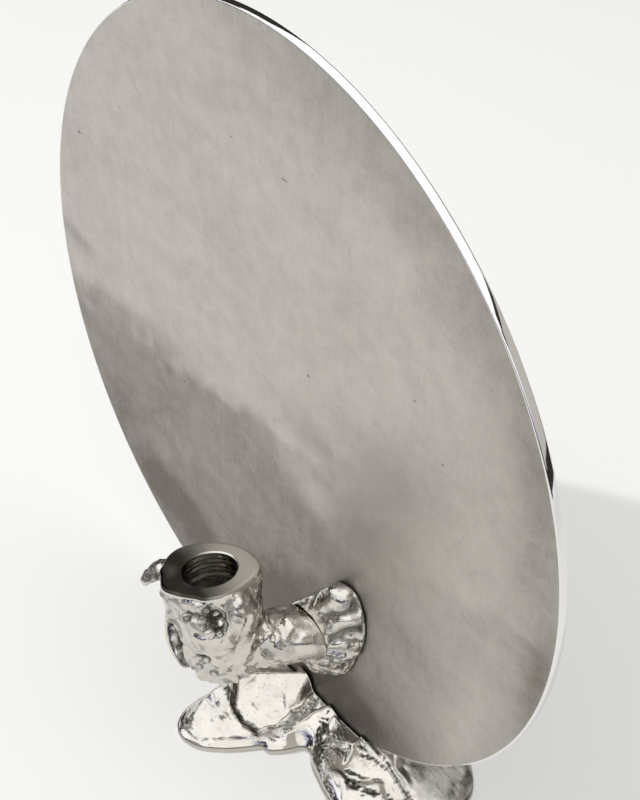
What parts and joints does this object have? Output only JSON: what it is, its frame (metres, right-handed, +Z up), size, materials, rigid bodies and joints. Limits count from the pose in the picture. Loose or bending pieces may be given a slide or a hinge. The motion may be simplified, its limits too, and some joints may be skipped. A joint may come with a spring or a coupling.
{
  "type": "drip candle holder",
  "caption": "Tabletop candle holder with a large round upright reflector disc, a molten-looking cast foot and a leaning candle cup on a short arm.",
  "frame": {"origin": "on the table below the disc's centre, in the plane of the disc's front face, on the foot's flat underside", "axes": "+Z up from the table; -Y out of the disc's front face, towards the cup; +X to the right as seen from the front"},
  "size_m": [0.32, 0.1267, 0.3227],
  "materials": {
    "satin_disc": "satin",
    "polished_casting": "polished",
    "fastener_steel": "satin"
  },
  "bodies": {
    "root": {"reflector_disc": "satin_disc", "foot_casting": "polished_casting", "arm_collar": "polished_casting", "candle_cup": "polished_casting", "upper_screw": "fastener_steel", "lower_screw": "fastener_steel", "upper_washer": "fastener_steel", "lower_washer": "fastener_steel"}
  },
  "joints": []
}
